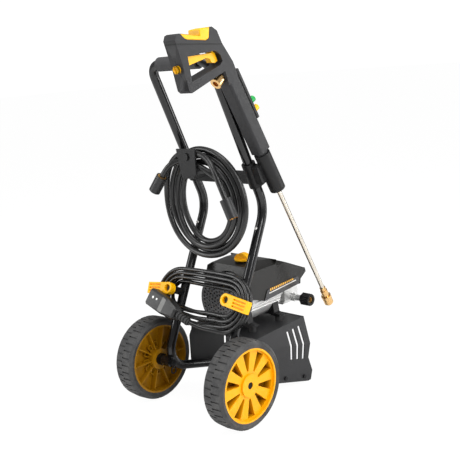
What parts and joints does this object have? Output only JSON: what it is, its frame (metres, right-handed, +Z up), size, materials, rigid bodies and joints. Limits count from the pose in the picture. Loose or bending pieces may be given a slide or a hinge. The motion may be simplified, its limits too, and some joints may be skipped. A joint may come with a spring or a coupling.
{
  "type": "electric pressure washer",
  "caption": "Upright electric pressure washer on two wheels: tube frame, moulded saddle base, motor pump under a hood, spray wand in a holster, hung hose coil and wound power cord.",
  "frame": {"origin": "on the floor under the middle of the machine, cords aside", "axes": "+Z up, +Y towards the user behind the handle, +X to the user's left"},
  "size_m": [0.3556, 0.4751, 0.872],
  "materials": {
    "black_tube": "satin black powder coat",
    "grip_foam": "dark foam grip",
    "steel": "bright zinc plated steel",
    "black_plastic": "moulded black plastic with a fine grain",
    "yellow_plastic": "moulded amber yellow plastic",
    "green_plastic": "moulded green plastic",
    "tyre": "moulded tyre tread",
    "rubber": "smooth black hose and cord jacket",
    "cast_aluminium": "ribbed cast aluminium",
    "copper_winding": "varnished copper windings",
    "brass": "machined brass",
    "plate_grey": "glossy trim plate"
  },
  "bodies": {
    "frame": {"lower_tube_left": "black_tube", "lower_tube_right": "black_tube", "upper_handle": "black_tube", "handle_grip": "grip_foam", "screws": "steel", "stub_axles": "steel", "hitch_pins": "steel", "motor_bearings": "steel", "base": "black_plastic", "hood": "black_plastic", "cord_posts": "black_plastic", "cross_bracket": "black_plastic", "hose_hanger": "black_plastic", "lance_holster": "black_plastic", "fan_cowl": "black_plastic", "motor_feet": "black_plastic", "power_switch": "black_plastic", "cord_gland": "black_plastic", "inlet_fitting": "black_plastic", "rubber_mounts": "rubber", "hose_coil": "rubber", "hose_tails": "rubber", "cord_hank": "rubber", "power_cord": "rubber", "plug": "rubber", "plug_boot": "rubber", "motor_housing": "cast_aluminium", "pump_body": "cast_aluminium", "pump_head": "cast_aluminium", "stator": "copper_winding", "side_plates": "plate_grey"},
    "wheel_left": {"rim_left": "yellow_plastic", "tyre_left": "tyre"},
    "wheel_right": {"rim_right": "yellow_plastic", "tyre_right": "tyre"},
    "button_left": {"snap_button_left": "steel"},
    "button_right": {"snap_button_right": "steel"},
    "wand": {"gun_body": "black_plastic", "grip_inlay": "yellow_plastic", "gun_inlet": "brass", "lance_tube": "steel", "quick_connect": "brass", "tip_rack": "black_plastic"},
    "trigger_lever": {"trigger": "yellow_plastic"},
    "lock_button": {"trigger_lock": "yellow_plastic"},
    "collar": {"quick_collar": "brass"},
    "tip_green": {"spray_tip_green": "green_plastic"},
    "tip_yellow": {"spray_tip_yellow": "yellow_plastic"},
    "hook_left": {"cord_hook_left": "yellow_plastic"},
    "hook_right": {"cord_hook_right": "yellow_plastic"},
    "knob": {"power_knob": "yellow_plastic"},
    "outlet_swivel": {"outlet_nut": "black_plastic"},
    "nut_pump_swivel": {"hose_nut_pump": "rubber"},
    "nut_gun_swivel": {"hose_nut_gun": "rubber"},
    "motor_rotor": {"rotor": "steel", "cooling_fan": "black_plastic", "swash_plate": "steel"},
    "piston_1": {"plunger_1": "steel"},
    "piston_2": {"plunger_2": "steel"},
    "piston_3": {"plunger_3": "steel"}
  },
  "joints": [
    {"name": "wheel_left_spin", "type": "hinge", "parent": "frame", "child": "wheel_left", "pos_m": [0.14885, 0.1285, 0.1016], "axis": [1, 0, 0], "continuous": true},
    {"name": "wheel_right_spin", "type": "hinge", "parent": "frame", "child": "wheel_right", "pos_m": [-0.14885, 0.1285, 0.1016], "axis": [1, 0, 0], "continuous": true},
    {"name": "button_left_press", "type": "slide", "parent": "frame", "child": "button_left", "axis": [0, -0.8973, -0.4415], "range_m": [0, 0.0035], "stiffness_N_per_m": 300, "springref_m": -0.002},
    {"name": "button_right_press", "type": "slide", "parent": "frame", "child": "button_right", "axis": [0, -0.8973, -0.4415], "range_m": [0, 0.0035], "stiffness_N_per_m": 300, "springref_m": -0.002},
    {"name": "wand_lift", "type": "slide", "parent": "frame", "child": "wand", "axis": [0, 0.4683, 0.8836], "range_m": [0, 0.25]},
    {"name": "trigger_squeeze", "type": "hinge", "parent": "wand", "child": "trigger_lever", "pos_m": [-0.13, 0.1245, 0.829], "axis": [1, 0, 0], "range_deg": [0, 8], "stiffness_Nm_per_rad": 0.4, "springref_deg": -11.46},
    {"name": "lock_press", "type": "slide", "parent": "wand", "child": "lock_button", "axis": [0, -0.9738, 0.2272], "range_m": [0, 0.003]},
    {"name": "collar_retract", "type": "slide", "parent": "wand", "child": "collar", "axis": [0, 0.4683, 0.8836], "range_m": [0, 0.004], "stiffness_N_per_m": 250, "springref_m": -0.003},
    {"name": "tip_green_pull", "type": "slide", "parent": "wand", "child": "tip_green", "axis": [0, -0.8836, 0.4683], "range_m": [0, 0.02]},
    {"name": "tip_yellow_pull", "type": "slide", "parent": "wand", "child": "tip_yellow", "axis": [0, -0.8836, 0.4683], "range_m": [0, 0.02]},
    {"name": "hook_left_turn", "type": "hinge", "parent": "frame", "child": "hook_left", "pos_m": [0.096, 0.10186, 0.27867], "axis": [0, 0.8973, 0.4415], "range_deg": [-90, 0]},
    {"name": "hook_right_turn", "type": "hinge", "parent": "frame", "child": "hook_right", "pos_m": [-0.096, 0.10186, 0.27867], "axis": [0, 0.8973, 0.4415], "range_deg": [0, 90]},
    {"name": "knob_turn", "type": "hinge", "parent": "frame", "child": "knob", "pos_m": [-0.012, -0.0495, 0.327], "axis": [0, 0, 1], "range_deg": [0, 90]},
    {"name": "outlet_nut_spin", "type": "hinge", "parent": "frame", "child": "outlet_swivel", "pos_m": [-0.087, -0.1935, 0.197], "axis": [1, 0, 0], "continuous": true},
    {"name": "nut_pump_spin", "type": "hinge", "parent": "frame", "child": "nut_pump_swivel", "pos_m": [-0.088, 0.0735, 0.504], "axis": [-0.4191, 0, -0.908], "continuous": true},
    {"name": "nut_gun_spin", "type": "hinge", "parent": "frame", "child": "nut_gun_swivel", "pos_m": [0.11, 0.0785, 0.547], "axis": [0.5885, 0.1261, -0.7986], "continuous": true},
    {"name": "rotor_spin", "type": "hinge", "parent": "frame", "child": "motor_rotor", "pos_m": [0, -0.0615, 0.238], "axis": [0, 1, 0], "continuous": true},
    {"name": "piston_1_stroke", "type": "slide", "parent": "frame", "child": "piston_1", "axis": [0, -1, 0], "range_m": [0, 0.004], "stiffness_N_per_m": 400, "springref_m": -0.002},
    {"name": "piston_2_stroke", "type": "slide", "parent": "frame", "child": "piston_2", "axis": [0, -1, 0], "range_m": [0, 0.004], "stiffness_N_per_m": 400, "springref_m": -0.002},
    {"name": "piston_3_stroke", "type": "slide", "parent": "frame", "child": "piston_3", "axis": [0, -1, 0], "range_m": [0, 0.004], "stiffness_N_per_m": 400, "springref_m": -0.002}
  ]
}
